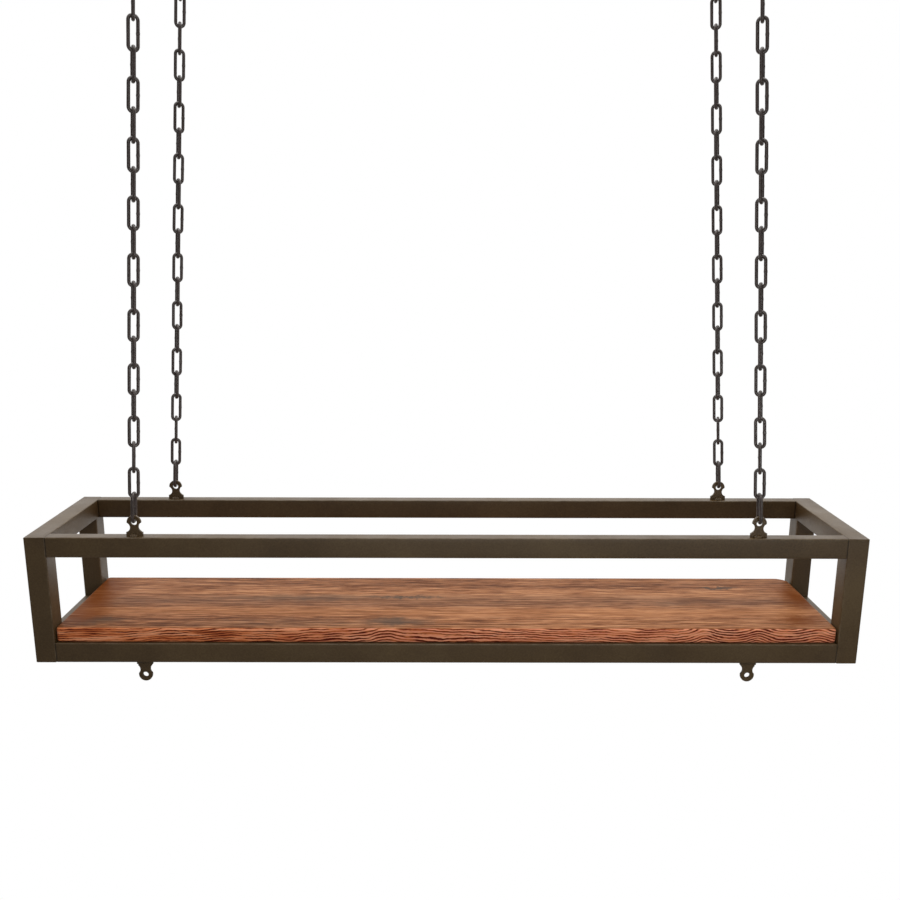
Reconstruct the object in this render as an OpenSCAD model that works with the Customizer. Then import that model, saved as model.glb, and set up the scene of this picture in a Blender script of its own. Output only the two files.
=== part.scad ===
// Chain-hung shelf: a welded box frame of steel tube holds a wooden board.
// Four chains lead from eye tabs on the top rails to screw hooks in the ceiling.
// The origin is on the ceiling plane, midway between the four hooks.
// +X is to the right, +Y is to the rear and +Z is up.

/* [Frame] */
// Width of the frame along the shelf
frame_w = 1016; // [900:1:1200]
// Depth of the frame from front to rear
frame_d = 180; // [160:1:260]
// Height of the frame
frame_h = 162; // [130:1:240]
// Outer side of the square tube, which is also the height of the long rails
tube = 25.4; // [22:0.1:32]
// Depth of the long rails' rectangular tube
rail_d = 16; // [15:0.5:20]
// Wall of the tubes
tube_wall = 1.6; // [1.2:0.1:2.5]
// Outer corner radius of the tubes
tube_r = 1.5; // [1.2:0.1:2.8]

/* [Board] */
// Thickness of the board
board_t = 19; // [16:0.5:25]
// Gap between each end of the board and the frame
board_end_gap = 0.5; // [0.5:0.1:2]
// Distance of the board's long edges from the frame's front and rear faces
board_inset = 3; // [1:0.5:6]
// Radius of the board's eased edges
board_edge_r = 2; // [1:0.5:3]
// Radius of the board's corners, seen from above
board_corner_r = 5; // [4:0.5:10]
// Distance of the outer board screws from the middle of the shelf
screw_x = 310; // [200:1:330]
// Distance of the board screws from the frame's front and rear faces
screw_inset = 10; // [8:0.5:10]
// Shank diameter of the board screws
screw_d = 4; // [3.5:0.1:5]
// Depth of the board screws in the wood
screw_bite = 13; // [8:0.5:15]

/* [Eye tabs] */
// Distance of the tabs from the middle of the shelf
tab_x = 376; // [350:1:400]
// Distance of the tabs' middle plane from the frame's front and rear faces
tab_inset = 7.5; // [6:0.5:9]
// Thickness of the tab plate
tab_t = 3; // [2.5:0.1:3.5]
// Width of the tab's foot
tab_foot_w = 20; // [19:0.5:24]
// Height of the straight sides of the tab's foot
tab_foot_h = 5; // [4:0.5:6]
// Width of the upper tabs' neck
upper_neck_w = 10; // [9:0.5:12]
// Width of the lower tabs' neck
lower_neck_w = 12.5; // [11:0.5:13.5]
// Outer diameter of the tab's ring
tab_ring_d = 17; // [16.5:0.5:18]
// Diameter of the upper tabs' eyes
upper_eye_d = 7.4; // [7.3:0.1:7.6]
// Height of the upper eyes' centres above the tab's foot
upper_eye_h = 17.4; // [17:0.1:19]
// Diameter of the lower tabs' eyes
lower_eye_d = 6.8; // [6:0.1:7.6]
// Distance of the lower eyes' centres below the tab's foot
lower_eye_h = 19; // [18:0.1:21]
// Length of the weld bead at a tab's foot
weld_l = 9; // [6:0.5:14]
// Leg of the weld bead at a tab's foot
weld_leg = 2.5; // [1.5:0.1:3]

/* [Chains] */
// Number of links in each chain, an even number
link_count = 22; // [18:2:26]
// Inside length of a link
link_inner_l = 31.3; // [28:0.1:34]
// Outside width of a link
link_w = 14; // [13.5:0.5:16]
// Outside width of the wider links at the two ends of a chain
end_link_w = 16; // [16:0.5:17]
// Wire diameter of a link
wire_d = 4; // [3.6:0.1:4]
// Play between two links
link_gap = 0.3; // [0.2:0.05:0.4]
// Play between a chain's end link and its eye
eye_gap = 1; // [0.9:0.05:1.1]
// Inward lean of the chains, towards the ceiling
lean = 4.3; // [3:0.1:4.5]
// Turn of the end link away from square to its tab
eye_turn = 3; // [0:0.5:4]
// Turn of the links in the middle of the chain
chain_turn = 30; // [0:1:35]
// Turn from one link to the next, up to the middle's turn
turn_step = 7; // [5:0.5:8]

/* [Ceiling hooks] */
// Wire diameter of the hook
hook_wire = 5; // [4.5:0.1:5.5]
// Radius of the hook's curve, at the middle of the wire
hook_r = 10; // [9:0.5:12]
// Radius of the bend under the hook's shank
hook_neck_r = 6; // [5:0.5:8]
// Straight shank between the collar and the bend
hook_shank = 8; // [5:0.5:12]
// Diameter of the collar at the ceiling
collar_d = 15; // [12:0.5:20]
// Thickness of the collar
collar_t = 2; // [1.5:0.1:3]
// Length of the wood thread above the ceiling plane
thread_l = 28; // [20:1:35]
// Length of the thread's pointed tip
thread_tip = 6; // [4:1:8]

/* [Hidden] */
$fn = 48;

// Side signs: left and front are negative, right and rear are positive
left = -1;
right = 1;
front = -1;
rear = 1;
top = 1;
bottom = -1;

steel = "#4a4238";
wood = "#8a5233";
chain_black = "#2b2828";
zinc = "#8d8d88";

// A little more than any cut needs, so that no faces coincide
over = 1;

// Inner corner radius of the tubes
tube_inner_r = max(tube_r - tube_wall, 0.4);

// Chain
wire_r = wire_d / 2;
link_pitch = link_inner_l - link_gap;
crown_h = (link_inner_l + wire_d) / 2;
chain_l = (link_count - 1) * link_pitch + 2 * crown_h;

// Hook: the bend under the shank and the main curve meet where their tangents agree
neck_angle = acos(hook_neck_r / (hook_r + hook_neck_r));
curve_start = 180 - neck_angle;
curve_end = 390;
shank_end_z = -collar_t - hook_shank;
curve_z = shank_end_z - (hook_r + hook_neck_r) * sin(neck_angle);
seat_z = curve_z - hook_r + hook_wire / 2 + wire_r + link_gap;

// Tabs and frame, measured down from the hook
tab_y = frame_d / 2 - tab_inset;
crown_z = seat_z - chain_l * cos(lean);
hook_x = tab_x - chain_l * sin(lean);
eye_z = crown_z - (upper_eye_d / 2 - wire_r - eye_gap);
frame_top_z = eye_z - upper_eye_h;
frame_bottom_z = frame_top_z - frame_h;
inner_w = frame_w - 2 * tube;
board_z = frame_bottom_z + tube;

// ---- Tube frame ----

// Rectangle with rounded corners, centred on the origin
module rounded_rectangle(length, width, radius) {
    square([length - 2 * radius, width], center = true);
    square([length, width - 2 * radius], center = true);
    for (x = [-1, 1], y = [-1, 1])
        translate([x * (length / 2 - radius), y * (width / 2 - radius)])
            circle(radius);
}

// Tube along +Z from the origin, centred on its axis, with the given depth along Y
module steel_tube(length, depth) {
    walls = 2 * tube_wall;
    linear_extrude(length)
        difference() {
            rounded_rectangle(tube, depth, tube_r);
            rounded_rectangle(tube - walls, depth - walls, tube_inner_r);
        }
}

// Half space above a plane that rises at 45 degrees in the Y-Z plane
module mitre_cutter(turn) {
    size = 4 * tube;
    rotate([turn, 0, 0])
        translate([-size / 2, -size / 2, 0])
            cube(size);
}

// Upright tube at one corner, mitred at both ends
module post(side_x, side_y) {
    color(steel)
        translate([side_x * (frame_w - tube) / 2, side_y * (frame_d - tube) / 2, frame_bottom_z])
            difference() {
                steel_tube(frame_h, tube);
                translate([0, 0, frame_h - tube / 2])
                    mitre_cutter(side_y * 45);
                translate([0, 0, tube / 2])
                    mitre_cutter(180 - side_y * 45);
            }
}

// Short tube between a front and a rear post, mitred at both ends
module side_rail(side_x, side_z) {
    middle_z = frame_bottom_z + frame_h / 2 + side_z * (frame_h - tube) / 2;
    color(steel)
        translate([side_x * (frame_w - tube) / 2, 0, middle_z])
            difference() {
                translate([0, frame_d / 2, 0])
                    rotate([90, 0, 0])
                        steel_tube(frame_d, tube);
                translate([0, (frame_d - tube) / 2, 0])
                    mitre_cutter(-90 + side_z * -45);
                translate([0, -(frame_d - tube) / 2, 0])
                    mitre_cutter(90 + side_z * 45);
            }
}

// Long rectangular tube between the two end frames, flush with their front or rear
module long_rail(side_y, side_z) {
    middle_z = frame_bottom_z + frame_h / 2 + side_z * (frame_h - tube) / 2;
    color(steel)
        difference() {
            translate([-inner_w / 2, side_y * (frame_d - rail_d) / 2, middle_z])
                rotate([0, 90, 0])
                    steel_tube(inner_w, rail_d);
            if (side_z == bottom)
                board_screw_row(side_y)
                    cylinder(h = 2 * tube, d = screw_d, center = true);
        }
}

// ---- Board ----

module shelf_board() {
    length = inner_w - 2 * board_end_gap;
    width = frame_d - 2 * board_inset;
    color(wood)
        difference() {
            translate([0, 0, board_z])
                intersection() {
                    linear_extrude(board_t)
                        rounded_rectangle(length, width, board_corner_r);
                    translate([-length / 2 - over, 0, board_t / 2])
                        rotate([90, 0, 90])
                            linear_extrude(length + 2 * over)
                                rounded_rectangle(width, board_t, board_edge_r);
                }
            for (side_y = [front, rear])
                board_screw_row(side_y)
                    translate([0, 0, tube / 2 - over])
                        cylinder(h = screw_bite + over, d = screw_d);
        }
}

// Puts its child at each board screw of one rail, at the middle of its height
module board_screw_row(side_y) {
    for (x = [-screw_x, 0, screw_x])
        translate([x, side_y * (frame_d / 2 - screw_inset), frame_bottom_z + tube / 2])
            children();
}

// Pan-head screw, driven up through a bottom rail into the board
module board_screw() {
    head_d = 2 * screw_d;
    head_t = 0.6 * screw_d;
    translate([0, 0, -tube / 2])
        cylinder(h = tube + screw_bite, d = screw_d);
    translate([0, 0, -tube / 2 - head_t])
        difference() {
            cylinder(h = head_t, d = head_d);
            for (turn = [0, 90])
                rotate([0, 0, turn])
                    cube([head_d / 2, head_d / 8, head_t], center = true);
        }
}

module board_screws() {
    color(zinc)
        for (side_y = [front, rear])
            board_screw_row(side_y)
                board_screw();
}

// ---- Eye tabs ----

// Foot, waisted neck and ring, with the foot's base on the X axis
module tab_outline(eye_h, neck_w) {
    waist_r = (eye_h - tab_foot_h) / 2;
    difference() {
        union() {
            translate([-tab_foot_w / 2, 0])
                square([tab_foot_w, tab_foot_h]);
            translate([-tab_ring_d / 2, 0])
                square([tab_ring_d, eye_h]);
            translate([0, eye_h])
                circle(d = tab_ring_d);
        }
        for (side = [-1, 1])
            translate([side * (neck_w / 2 + waist_r), tab_foot_h + waist_r])
                circle(waist_r);
    }
}

// Flat plate with its foot on the X axis and its eye above
module tab_plate(eye_h, eye_d, neck_w) {
    rotate([90, 0, 0])
        translate([0, 0, -tab_t / 2])
            difference() {
                linear_extrude(tab_t)
                    tab_outline(eye_h, neck_w);
                translate([0, eye_h, -over])
                    cylinder(h = tab_t + 2 * over, d = eye_d);
            }
}

module upper_tab(side_x, side_y) {
    color(steel)
        translate([side_x * tab_x, side_y * tab_y, frame_top_z])
            tab_plate(upper_eye_h, upper_eye_d, upper_neck_w);
}

module lower_tab(side_x, side_y) {
    color(steel)
        translate([side_x * tab_x, side_y * tab_y, frame_bottom_z])
            mirror([0, 0, 1])
                tab_plate(lower_eye_h, lower_eye_d, lower_neck_w);
}

// Quarter-round bead along X, in the corner between the rail and the tab's face
module weld_bead() {
    rotate([90, 0, 90])
        translate([0, 0, -weld_l / 2])
            intersection() {
                cylinder(h = weld_l, r = weld_leg);
                cube([weld_leg + over, weld_leg + over, weld_l]);
            }
}

// A bead on both faces of each tab
module tab_welds(side_z) {
    foot_z = side_z == top ? frame_top_z : frame_bottom_z;
    color(steel)
        for (side_x = [left, right], side_y = [front, rear], face = [0, 1])
            translate([side_x * tab_x, side_y * tab_y, foot_z])
                mirror([0, 0, side_z == top ? 0 : 1])
                    mirror([0, face, 0])
                        translate([0, tab_t / 2, 0])
                            weld_bead();
}

// ---- Chains ----

// Long link in the X-Z plane, centred on the origin
module chain_link(width) {
    bend_r = (width - wire_d) / 2;
    leg_l = link_inner_l + wire_d - 2 * bend_r;
    rotate([90, 0, 0]) {
        for (turn = [0, 180])
            rotate([0, 0, turn])
                translate([0, leg_l / 2, 0])
                    rotate_extrude(angle = 180)
                        translate([bend_r, 0])
                            circle(wire_r);
        for (side = [-1, 1])
            translate([side * bend_r, 0, 0])
                rotate([90, 0, 0])
                    cylinder(h = leg_l, r = wire_r, center = true);
    }
}

// Turn of one link away from square: it grows from both ends of the chain to the middle
function link_twist(i) = min(eye_turn + (i - 1) * turn_step, chain_turn, (link_count - i) * turn_step);

// Links of one chain, counted from 1 in the tab's eye up to link_count in the hook
module chain_links(side_x, side_y, first, last) {
    color(chain_black)
        translate([side_x * tab_x, side_y * tab_y, crown_z])
            rotate([0, -side_x * lean, 0])
                for (i = [first : last])
                    translate([0, 0, crown_h + (i - 1) * link_pitch])
                        rotate([0, 0, (i % 2 == 0 ? 0 : 90) - side_x * link_twist(i)])
                            chain_link(i == 1 || i == link_count ? end_link_w : link_w);
}

// ---- Ceiling hooks ----

// Part of a ring of hook wire in the Y-Z plane, from one angle above +Y to another
module wire_arc(radius, from, to) {
    rotate([90, 0, 90])
        rotate([0, 0, from])
            rotate_extrude(angle = to - from)
                translate([radius, 0])
                    circle(d = hook_wire);
}

// Half ball that rounds off a cut end of hook wire, with its flat side on the X-Y plane
module wire_tip() {
    rotate_extrude()
        intersection() {
            circle(d = hook_wire);
            square(hook_wire);
        }
}

// Screw hook with its mouth towards +Y, its collar's upper face on the ceiling plane
module screw_hook() {
    cylinder(h = thread_l - thread_tip, d = hook_wire);
    translate([0, 0, thread_l - thread_tip])
        cylinder(h = thread_tip, d1 = hook_wire, d2 = hook_wire / 5);
    translate([0, 0, -collar_t])
        cylinder(h = collar_t, d = collar_d);
    translate([0, 0, shank_end_z])
        cylinder(h = hook_shank, d = hook_wire);
    translate([0, -hook_neck_r, shank_end_z])
        wire_arc(hook_neck_r, -neck_angle, 0);
    translate([0, 0, curve_z])
        wire_arc(hook_r, curve_start, curve_end);
    translate([0, hook_r * cos(curve_end), curve_z + hook_r * sin(curve_end)])
        rotate([curve_end, 0, 0])
            wire_tip();
}

module hook(side_x, side_y) {
    color(chain_black)
        translate([side_x * hook_x, side_y * tab_y, 0])
            mirror([0, side_y == front ? 1 : 0, 0])
                screw_hook();
}

// ---- Nodes ----

post(left, front);  // front_left_post
post(right, front);  // front_right_post
post(left, rear);  // rear_left_post
post(right, rear);  // rear_right_post
side_rail(left, top);  // top_left_side_rail
side_rail(right, top);  // top_right_side_rail
side_rail(left, bottom);  // bottom_left_side_rail
side_rail(right, bottom);  // bottom_right_side_rail
long_rail(front, top);  // top_front_rail
long_rail(rear, top);  // top_rear_rail
long_rail(front, bottom);  // bottom_front_rail
long_rail(rear, bottom);  // bottom_rear_rail
shelf_board();
board_screws();
upper_tab(left, front);  // front_left_upper_tab
upper_tab(right, front);  // front_right_upper_tab
upper_tab(left, rear);  // rear_left_upper_tab
upper_tab(right, rear);  // rear_right_upper_tab
lower_tab(left, front);  // front_left_lower_tab
lower_tab(right, front);  // front_right_lower_tab
lower_tab(left, rear);  // rear_left_lower_tab
lower_tab(right, rear);  // rear_right_lower_tab
tab_welds(top);  // upper_tab_welds
tab_welds(bottom);  // lower_tab_welds
chain_links(left, front, 1, 1);  // front_left_end_link
chain_links(right, front, 1, 1);  // front_right_end_link
chain_links(left, rear, 1, 1);  // rear_left_end_link
chain_links(right, rear, 1, 1);  // rear_right_end_link
chain_links(left, front, 2, link_count - 1);  // front_left_chain
chain_links(right, front, 2, link_count - 1);  // front_right_chain
chain_links(left, rear, 2, link_count - 1);  // rear_left_chain
chain_links(right, rear, 2, link_count - 1);  // rear_right_chain
chain_links(left, front, link_count, link_count);  // front_left_top_link
chain_links(right, front, link_count, link_count);  // front_right_top_link
chain_links(left, rear, link_count, link_count);  // rear_left_top_link
chain_links(right, rear, link_count, link_count);  // rear_right_top_link
hook(left, front);  // front_left_hook
hook(right, front);  // front_right_hook
hook(left, rear);  // rear_left_hook
hook(right, rear);  // rear_right_hook
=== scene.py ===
"""Chain-hung shelf: the looks of every piece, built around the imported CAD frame. Lengths are in metres."""
import math

import bpy
from mathutils import Matrix, Vector, noise


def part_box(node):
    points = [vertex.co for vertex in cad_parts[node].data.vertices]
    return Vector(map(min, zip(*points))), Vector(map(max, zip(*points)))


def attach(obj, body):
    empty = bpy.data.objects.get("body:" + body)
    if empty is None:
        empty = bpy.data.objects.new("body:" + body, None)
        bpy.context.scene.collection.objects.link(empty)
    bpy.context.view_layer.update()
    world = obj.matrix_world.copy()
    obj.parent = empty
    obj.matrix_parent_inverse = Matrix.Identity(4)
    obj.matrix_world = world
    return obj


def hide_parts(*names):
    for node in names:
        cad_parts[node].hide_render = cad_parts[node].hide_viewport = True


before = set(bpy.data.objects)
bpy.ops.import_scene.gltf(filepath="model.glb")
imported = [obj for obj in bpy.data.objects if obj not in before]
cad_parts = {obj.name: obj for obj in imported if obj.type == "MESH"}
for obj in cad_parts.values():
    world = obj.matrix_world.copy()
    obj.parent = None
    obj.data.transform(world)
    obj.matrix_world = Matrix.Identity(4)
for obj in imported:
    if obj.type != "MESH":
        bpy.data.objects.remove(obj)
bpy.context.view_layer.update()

SIDES = {"left": -1, "right": 1}
DEPTHS = {"front": -1, "rear": 1}
RAIL_LEVELS = {"top": 1, "bottom": -1}
TAB_LEVELS = {"upper": 1, "lower": -1}
CORNERS = [(f"{y_name}_{x_name}", x_sign, y_sign)
           for y_name, y_sign in DEPTHS.items()
           for x_name, x_sign in SIDES.items()]

# ---- Places taken from the frame ----

FRAME_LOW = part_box("front_left_post")[0]
FRAME_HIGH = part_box("rear_right_post")[1]
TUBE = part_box("front_left_post")[1].x - FRAME_LOW.x
RAIL_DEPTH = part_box("top_front_rail")[1].y - FRAME_LOW.y
BOARD_LOW, BOARD_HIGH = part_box("shelf_board")
BOARD_MIDDLE = (BOARD_LOW + BOARD_HIGH) / 2
BOARD_HALF = (BOARD_HIGH - BOARD_LOW) / 2

# ---- Camera ----

LENS_MM = 35.02
SENSOR_MM = 36.0
CAMERA_X = 0.0007
CAMERA_IN_FRONT = 0.9998
CAMERA_ABOVE = 0.3349
CAMERA_PITCH = math.radians(12.75)
CAMERA_YAW = math.radians(0.15)
CAMERA_ROLL = math.radians(-0.16)


def add_camera():
    """Looks down on the shelf from in front, at the height and distance given above."""
    data = bpy.data.cameras.new("camera")
    data.lens = LENS_MM
    data.sensor_width = SENSOR_MM
    camera = bpy.data.objects.new("camera", data)
    bpy.context.scene.collection.objects.link(camera)
    forward = Vector((math.sin(CAMERA_YAW) * math.cos(CAMERA_PITCH),
                      math.cos(CAMERA_YAW) * math.cos(CAMERA_PITCH),
                      -math.sin(CAMERA_PITCH)))
    level = Vector((math.cos(CAMERA_YAW), -math.sin(CAMERA_YAW), 0))
    down = forward.cross(level)
    right = math.cos(CAMERA_ROLL) * level + math.sin(CAMERA_ROLL) * down
    up = math.sin(CAMERA_ROLL) * level - math.cos(CAMERA_ROLL) * down
    turn = Matrix((right, up, -forward)).transposed().to_4x4()
    place = Vector((CAMERA_X, FRAME_LOW.y - CAMERA_IN_FRONT, FRAME_HIGH.z + CAMERA_ABOVE))
    camera.matrix_world = Matrix.Translation(place) @ turn
    bpy.context.scene.camera = camera


# ---- Shader graphs ----

class Graph:
    """Short calls that add nodes to a material or a world and link them."""

    def __init__(self, owner):
        owner.use_nodes = True
        self.owner = owner
        self.tree = owner.node_tree

    def feed(self, socket, value):
        """Links a node's output to the socket, or sets the socket to a plain value."""
        if isinstance(value, bpy.types.NodeSocket):
            self.tree.links.new(value, socket)
        else:
            socket.default_value = value

    def add(self, kind, inputs, **settings):
        """Adds a shader node, sets it and feeds its inputs."""
        node = self.tree.nodes.new("ShaderNode" + kind)
        for name, value in settings.items():
            setattr(node, name, value)
        for name, value in inputs.items():
            self.feed(node.inputs[name], value)
        return node

    def place(self):
        """The point on the piece, in the frame's own coordinates."""
        return self.add("TexCoord", {}).outputs["Object"]

    def moved(self, point, shift):
        return self.add("VectorMath", {0: point, 1: shift}, operation="ADD").outputs[0]

    def scaled(self, point, scales):
        """The point with each axis scaled on its own."""
        return self.add("VectorMath", {0: point, 1: scales}, operation="MULTIPLY").outputs[0]

    def axes(self, point):
        return self.add("SeparateXYZ", {0: point}).outputs

    def wear_and_shade(self):
        """The mesh's own mark at this point: up to 1 where it is rubbed, -1 where shade is painted at a joint.
        """
        return self.add("Attribute", {}, attribute_name="wear_and_shade").outputs["Fac"]

    def noise(self, point, scale, detail, rough, twist=0.0):
        inputs = {"Vector": point, "Scale": scale, "Detail": detail, "Roughness": rough, "Distortion": twist}
        return self.add("TexNoise", inputs).outputs[0]

    def stretched(self, point, scales, detail, rough):
        """Noise with its own scale along each axis."""
        return self.noise(self.scaled(point, scales), 1, detail, rough)

    def math(self, operation, a, b=0.0, clamp=False):
        return self.add("Math", {0: a, 1: b}, operation=operation, use_clamp=clamp).outputs[0]

    def around_zero(self, value, width):
        """A 0 to 1 noise turned into a shift of plus or minus half the width."""
        return self.math("MULTIPLY", self.math("SUBTRACT", value, 0.5), width)

    def fade(self, value, start, end, low=0.0, high=1.0):
        """Runs smoothly from low to high as value goes from start to end."""
        inputs = {"Value": value, "From Min": start, "From Max": end, "To Min": low, "To Max": high}
        return self.add("MapRange", inputs, interpolation_type="SMOOTHSTEP").outputs[0]

    def mix(self, factor, a, b):
        """Colour a where the factor is 0, colour b where it is 1."""
        return self.add("Mix", {0: factor, 6: a, 7: b}, data_type="RGBA").outputs[2]

    def ramp(self, factor, stops):
        """A colour ramp through (place, (r, g, b)) stops."""
        node = self.add("ValToRGB", {0: factor})
        elements = node.color_ramp.elements
        elements[0].position, elements[0].color = stops[0][0], (*stops[0][1], 1)
        elements[1].position, elements[1].color = stops[-1][0], (*stops[-1][1], 1)
        for position, colour in stops[1:-1]:
            elements.new(position).color = (*colour, 1)
        return node.outputs[0]

    def bump(self, height, distance, strength):
        inputs = {"Height": height, "Distance": distance, "Strength": strength}
        return self.add("Bump", inputs).outputs[0]


def principled(g, colour, roughness, normal, **fixed):
    """Sets a graph's Principled shader and returns the material.

    Colour, roughness and normal come from nodes. The rest are fixed numbers, under the sockets' own names.
    """
    shader = g.tree.nodes["Principled BSDF"]
    g.feed(shader.inputs["Base Color"], colour)
    g.feed(shader.inputs["Roughness"], roughness)
    g.feed(shader.inputs["Normal"], normal)
    for key, value in fixed.items():
        shader.inputs[key.replace("_", " ").title().replace("Ior", "IOR")].default_value = value
    return g.owner


def material(name):
    return Graph(bpy.data.materials.new(name))


def rgb(r, g, b):
    return (r, g, b, 1)


# ---- Materials ----

def frame_coat():
    """Satin olive-bronze powder coat: fine orange peel, slow colour drift, rubbed edges, and near-black painted
    shade at the joints of the long rails with the posts.
    """
    g = material("frame_coat")
    point = g.place()
    drift = g.noise(point, 9, 4, 0.6)
    speckle = g.noise(point, 480, 3, 0.7)
    tone = g.math("ADD", g.math("MULTIPLY", drift, 0.5), g.math("MULTIPLY", speckle, 0.5))
    colour = g.ramp(tone, [(0.36, (0.058, 0.032, 0.010)),
                           (0.50, (0.082, 0.049, 0.018)),
                           (0.64, (0.110, 0.070, 0.028))])
    wear_and_shade = g.wear_and_shade()
    rub = g.math("MULTIPLY", wear_and_shade, g.fade(g.noise(point, 45, 4, 0.7), 0.42, 0.66))
    colour = g.mix(g.math("MULTIPLY", rub, 0.5, clamp=True), colour, rgb(0.20, 0.155, 0.10))
    # Painted shade: near-black at the rims where the long rails butt against the posts (mark -1).
    seam_shade = g.math("MULTIPLY", wear_and_shade, -0.9, clamp=True)
    colour = g.mix(seam_shade, colour, rgb(0.006, 0.004, 0.003))
    smudge = g.noise(point, 22, 5, 0.65)
    rough = g.fade(smudge, 0.3, 0.7, 0.40, 0.52)
    peel = g.noise(point, 650, 3, 0.6)
    return principled(g, colour, rough, g.bump(peel, 0.00006, 0.7))


def chain_black():
    """Blackened steel wire with a brown cast, paler where the links rub."""
    g = material("chain_black")
    point = g.place()
    tone = g.noise(point, 120, 4, 0.6)
    colour = g.ramp(tone, [(0.3, (0.030, 0.019, 0.016)), (0.7, (0.060, 0.041, 0.035))])
    rub = g.math("MULTIPLY", g.wear_and_shade(), g.fade(g.noise(point, 400, 3, 0.6), 0.35, 0.65))
    colour = g.mix(g.math("MULTIPLY", rub, 0.5), colour, rgb(0.17, 0.15, 0.14))
    rough = g.fade(g.noise(point, 260, 3, 0.6), 0.3, 0.7, 0.32, 0.44)
    scale = g.noise(point, 500, 2, 0.5)
    return principled(g, colour, rough, g.bump(scale, 0.00002, 0.5), specular_ior_level=0.7)


def hook_black():
    """Black-painted steel wire, a little glossier than the chains."""
    g = material("hook_black")
    point = g.place()
    tone = g.noise(point, 90, 4, 0.6)
    colour = g.ramp(tone, [(0.3, (0.018, 0.015, 0.014)), (0.7, (0.040, 0.034, 0.031))])
    rub = g.math("MULTIPLY", g.wear_and_shade(), g.fade(g.noise(point, 300, 3, 0.6), 0.40, 0.62))
    colour = g.mix(rub, colour, rgb(0.20, 0.18, 0.165))
    rough = g.fade(g.noise(point, 200, 3, 0.6), 0.3, 0.7, 0.26, 0.42)
    grit = g.noise(point, 700, 3, 0.6)
    return principled(g, colour, rough, g.bump(grit, 0.00006, 0.5), metallic=0.3)


def screw_zinc():
    """Bright zinc plate with fine swirls and dull patches."""
    g = material("screw_zinc")
    point = g.place()
    tone = g.noise(point, 700, 4, 0.6, 0.8)
    colour = g.ramp(tone, [(0.3, (0.32, 0.31, 0.28)), (0.7, (0.55, 0.54, 0.50))])
    rough = g.fade(g.noise(point, 500, 3, 0.6), 0.3, 0.7, 0.22, 0.42)
    return principled(g, colour, rough, g.bump(tone, 0.00004, 0.5), metallic=1.0)


def patch(g, point, centre, size, soft):
    """A soft oval spot on the board: 0 past its size, rising to 1 over the soft share of its reach."""
    near = g.scaled(g.moved(point, (-centre[0], -centre[1], 0)), (1 / size[0], 1 / size[1], 0))
    reach = g.add("VectorMath", {0: near}, operation="LENGTH").outputs["Value"]
    return g.fade(reach, 1.0, 1.0 - soft)


# Bands along the board's whole top: place along Y, reach along Y, softness, strength, colour
BAND_REACH_X = 1.2
FACE_BANDS = [(0.008, 0.030, 0.7, 0.36, (0.150, 0.075, 0.042)),
              (-0.028, 0.018, 0.8, 0.35, (0.430, 0.170, 0.060))]

# Soft stains on the board's top: (place from its middle), (reach along X and Y), strength
GREY_PATCHES = [((-0.20, -0.070), (0.22, 0.018), 0.30), ((-0.055, 0.014), (0.075, 0.006), 1.0),
                ((-0.20, 0.012), (0.16, 0.014), 0.45), ((-0.066, -0.066), (0.060, 0.018), 0.8),
                ((0.370, 0.049), (0.045, 0.006), 1.0), ((0.290, -0.007), (0.030, 0.012), 0.25),
                ((-0.440, -0.064), (0.060, 0.022), 0.75)]
AMBER_PATCHES = [((-0.472, 0.060), (0.040, 0.050), 1.0), ((-0.468, 0.010), (0.048, 0.055), 1.0),
                 ((-0.460, -0.045), (0.044, 0.050), 0.9), ((0.468, 0.018), (0.040, 0.060), 1.0),
                 ((0.445, -0.058), (0.050, 0.024), 0.9)]
STAINS = [(GREY_PATCHES, 1.0, (0.085, 0.055, 0.036)), (AMBER_PATCHES, 0.9, (0.160, 0.038, 0.003))]

# Bumps in the lines on the board's long edges: place along X, reach, rise
EDGE_KNOTS = [(-0.075, 0.022, 3.4), (0.318, 0.016, 5.0), (0.385, 0.014, 4.5), (0.462, 0.020, 6.0)]
EDGE_HALF_WAVES = 600  # per metre of height: a line every 3.3 mm


def board_face(g, point, grain_point, streaks, pores):
    """Colour of the broad faces: long streaks, dark flecks, two wide bands and soft stains."""
    bands = g.stretched(grain_point, (1.3, 34, 34), 3, 0.5)
    tone = g.math("ADD", g.math("MULTIPLY", bands, 0.20), g.math("MULTIPLY", streaks, 0.36))
    tone = g.math("ADD", tone, g.math("MULTIPLY", pores, 0.44))
    face = g.ramp(tone, [(0.40, (0.058, 0.017, 0.006)),
                         (0.46, (0.165, 0.054, 0.018)),
                         (0.50, (0.292, 0.108, 0.040)),
                         (0.54, (0.405, 0.170, 0.070)),
                         (0.60, (0.580, 0.275, 0.125))])
    flecks = g.stretched(grain_point, (20, 620, 620), 2, 0.5)
    face = g.mix(g.fade(flecks, 0.56, 0.68, 0.0, 0.55), face, rgb(0.105, 0.040, 0.017))
    for place_y, reach_y, soft, strength, colour in FACE_BANDS:
        band = patch(g, grain_point, (0, place_y), (BAND_REACH_X, reach_y), soft)
        face = g.mix(g.math("MULTIPLY", band, strength), face, rgb(*colour))

    ragged = g.add("CombineXYZ", {0: g.around_zero(g.noise(point, 22, 3, 0.6), 0.06),
                                  1: g.around_zero(g.noise(point, 60, 3, 0.6), 0.03)}).outputs[0]
    stain_point = g.moved(point, ragged)
    for patches, share, colour in STAINS:
        for centre, size, strength in patches:
            spot = g.math("MULTIPLY", patch(g, stain_point, centre, size, 0.9), strength)
            face = g.mix(g.math("MULTIPLY", spot, share), face, rgb(*colour))
    return face


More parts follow.
